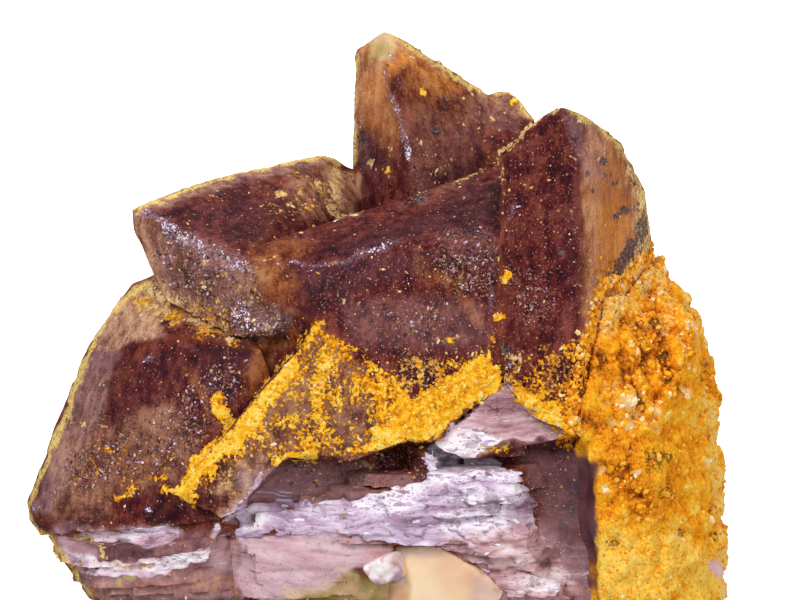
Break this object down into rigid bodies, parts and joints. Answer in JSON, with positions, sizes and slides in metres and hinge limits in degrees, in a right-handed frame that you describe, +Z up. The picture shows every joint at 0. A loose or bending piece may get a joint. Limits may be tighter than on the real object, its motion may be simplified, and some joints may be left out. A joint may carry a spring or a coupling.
{
  "type": "rontgenite crystal cluster",
  "caption": "Cluster of dark maroon-brown rontgenite crystals with an upright spike, silky lilac lamellae at its broken foot, an ochre crust on the right flank and a pale matrix remnant.",
  "frame": {"origin": "on the flat cut that the specimen rests on, under the middle of its width", "axes": "+Z up, -Y towards the front of the cluster, +X to the viewer's right, where the ochre crust is"},
  "size_m": [0.005, 0.0031, 0.004],
  "materials": {
    "dark_crystal": "glassy to silky, dark maroon-brown with amber edges and lilac cleavage layers",
    "ochre_crust": "granular, matt",
    "pale_matrix": "smooth, slightly waxy"
  },
  "bodies": {
    "root": {"crystal_cluster": "dark_crystal", "ochre_crust": "ochre_crust", "pale_matrix": "pale_matrix"}
  },
  "joints": []
}
